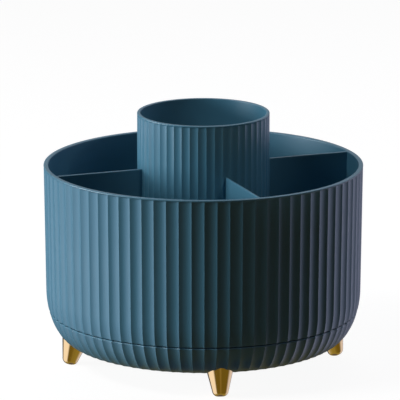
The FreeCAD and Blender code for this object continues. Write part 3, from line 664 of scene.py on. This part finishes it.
# %% Floor
FLOOR_HALF = 6.0
FLOOR_GREY = 0.16
FLOOR_GLOW = 0.93
BLACK = (0, 0, 0, 1)
WHITE = (1, 1, 1, 1)
floor_mesh = bpy.data.meshes.new("floor")
corners = [(x * FLOOR_HALF, y * FLOOR_HALF, 0) for x, y in ((-1, -1), (1, -1), (1, 1), (-1, 1))]
floor_mesh.from_pydata(corners, [], [(0, 1, 2, 3)])
floor = bpy.data.objects.new("floor", floor_mesh)
scene.collection.objects.link(floor)
floor_paint, recipe = finished("floor paint")
seen = recipe.add("LightPath", {}, {}, "Is Camera Ray")
shaded(recipe, {
    "Base Color": (FLOOR_GREY, FLOOR_GREY, FLOOR_GREY, 1),
    "Roughness": 1.0,
    "Specular IOR Level": 0.0,
    "Emission Color": recipe.blend(seen, BLACK, WHITE),
    "Emission Strength": FLOOR_GLOW,
})
floor_mesh.materials.append(floor_paint)
floor.visible_glossy = False
print("floor:", 2 * FLOOR_HALF, "m wide")

# %% [markdown]
# Polished gold shows the room, so the room matters more than the metal. In a studio the product
# stands between white reflectors with a dark gap behind the camera, and each foot shows that gap
# as a dark band with a bright strip on either side. The world here is that room. Its walls are a
# colour ramp over the turn, in degrees, from straight behind the organizer by way of the left wall
# at 90 and the camera at 180. The left wall is white and the right one cooler. The gap between
# them is dark and warm, with a faint doorway in its middle.

# %% Walls of the room
GAP = (0.17, 0.125, 0.02, 1)
DOORWAY = (0.28, 0.21, 0.06, 1)
BEHIND = (0.10, 0.10, 0.11, 1)
LEFT_WALL = (1.10, 1.08, 1.25, 1)
COOL_WALL = (0.78, 0.76, 1.0, 1)
WALL_TURNS = [
    (0, BEHIND), (46, BEHIND), (60, LEFT_WALL), (120, LEFT_WALL), (134, GAP),
    (174, GAP), (186, DOORWAY), (198, GAP), (262, GAP),
    (285, COOL_WALL), (325, COOL_WALL), (342, BEHIND), (360, BEHIND),
]
world = bpy.data.worlds.new("studio")
scene.world = world
world.cycles.sampling_method = "NONE"
room = Recipe(world)
toward = (math.sin(CAMERA_TURN), -math.cos(CAMERA_TURN), 0)
right = (math.cos(CAMERA_TURN), math.sin(CAMERA_TURN), 0)
direction = room.add("TexCoord", {}, {}, "Generated")
ahead = room.add("VectorMath", {"operation": "DOT_PRODUCT"}, {0: direction, 1: toward}, "Value")
aside = room.add("VectorMath", {"operation": "DOT_PRODUCT"}, {0: direction, 1: right}, "Value")
bearing = room.add("Math", {"operation": "ARCTAN2"}, {0: aside, 1: ahead})
stops = [(degrees / 360, colour) for degrees, colour in WALL_TURNS]
walls = room.add("ValToRGB", {"stops": stops}, {"Fac": bearing * (1 / math.tau) + 0.5})
print("wall stops:", len(stops))

# %% [markdown]
# Above the walls comes a grey ceiling, below them an amber table top, and shade right underneath.
# Each passes into the next over a span of heights on the sphere of directions, where -1 is
# straight down. All of this room is there for mirror rays only. Matt surfaces get a low, even
# light, and the camera sees white.

# %% World
CEILING = (0.50, 0.50, 0.52, 1)
TABLE = (0.34, 0.285, 0.07, 1)
SHADE = (0.12, 0.11, 0.15, 1)
AMBIENT = (0.004, 0.003, 0.006, 1)
SHADE_TO_TABLE = (-0.97, -0.86)
TABLE_TO_WALLS = (-0.85, -0.55)
WALLS_TO_CEILING = (0.05, 0.30)
height = room.add("SeparateXYZ", {}, {"Vector": direction}, "Z")


def passing(span, lower, upper):
    """One colour for directions below a span of heights, and another above it."""
    sockets = {"Value": height, "From Min": span[0], "From Max": span[1]}
    share = room.add("MapRange", {"interpolation_type": "SMOOTHSTEP"}, sockets)
    return room.blend(share, lower, upper)


low_room = passing(TABLE_TO_WALLS, passing(SHADE_TO_TABLE, SHADE, TABLE), walls)
surround = passing(WALLS_TO_CEILING, low_room, CEILING)
mirrored = room.add("LightPath", {}, {}, "Is Glossy Ray")
seen = room.add("LightPath", {}, {}, "Is Camera Ray")
shown = room.blend(mirrored, AMBIENT, surround)
backdrop = room.add("Background", {}, {"Color": room.blend(seen, shown, WHITE), "Strength": 1.0})
room.add("OutputWorld", {}, {"Surface": backdrop})
print("world nodes:", len(room.tree.nodes))

# %% [markdown]
# Five lamps do the rest. The key is a large soft box far to the left and low, so that every flute
# on that side has a lit and a shaded flank and the light fades out across the front. A small one,
# halfway up and nearer to the camera, puts a glint on edges that look up, such as the bevel under
# the seam. A weaker, cooler one on the right draws the far side, and one above and behind lights
# the rims and the inside. The cup stands in the drum's shade, so a narrow lamp that clears the rim
# in front reaches the cup alone.

# %% Two kinds of lamp
NEUTRAL = (1, 1, 1)
COOL = (0.80, 0.76, 1.0)
WARM = (1.0, 0.86, 0.78)
BODY = Vector((0, 0, 0.09))
CUP_FRONT = Vector((0, 0, 0.142))
SOFT_BOX_AWAY = 1.6
NARROW_LAMP_AWAY = 1.5
NARROW_LAMP_RADIUS = 0.03
CONE_BLEND = 0.5


def hung(name, kind, azimuth, elevation, distance, target):
    """A lamp at a turn round the camera's line, aimed at a point, and how far off that is."""
    turn = math.radians(azimuth) + CAMERA_TURN
    rise = math.radians(elevation)
    lamp = bpy.data.lights.new(name, kind)
    light = bpy.data.objects.new(name, lamp)
    scene.collection.objects.link(light)
    flat = math.cos(rise)
    outward = Vector((math.sin(turn) * flat, -math.cos(turn) * flat, math.sin(rise)))
    light.location = outward * distance
    light.rotation_euler = (target - light.location).to_track_quat("-Z", "Y").to_euler()
    return lamp, (target - light.location).length


def soft_box(name, azimuth, elevation, size, level, tint):
    """A soft box at the level that a white card facing it would show."""
    lamp, reach = hung(name, "AREA", azimuth, elevation, SOFT_BOX_AWAY, BODY)
    lamp.shape = "RECTANGLE"
    lamp.size, lamp.size_y = size
    lamp.color = tint
    lamp.energy = level * (math.pi * reach) ** 2


def narrow_lamp(name, azimuth, elevation, opening, level, tint):
    """A lamp with a narrow cone, at the level that a white card facing it would show."""
    lamp, reach = hung(name, "SPOT", azimuth, elevation, NARROW_LAMP_AWAY, CUP_FRONT)
    lamp.spot_size = math.radians(opening)
    lamp.spot_blend = CONE_BLEND
    lamp.shadow_soft_size = NARROW_LAMP_RADIUS
    lamp.color = tint
    lamp.energy = level * (math.tau * reach) ** 2

# %% [markdown]
# Angles are in degrees: azimuth from the camera's side of the organizer, to the right where it is
# positive, and elevation up from the floor. A level of 1 would show a white card as white.

# %% Lamps
soft_box("key", azimuth=-86, elevation=8, size=(1.0, 0.6), level=0.93, tint=NEUTRAL)
soft_box("glint", azimuth=-65, elevation=50, size=(0.5, 0.35), level=0.29, tint=NEUTRAL)
soft_box("side", azimuth=117, elevation=28, size=(0.5, 0.9), level=0.11, tint=COOL)
soft_box("top", azimuth=165, elevation=62, size=(1.0, 1.0), level=0.22, tint=NEUTRAL)
narrow_lamp("cup lamp", azimuth=36, elevation=37, opening=5.2, level=0.12, tint=WARM)
print("lamps:", len(bpy.data.lights))
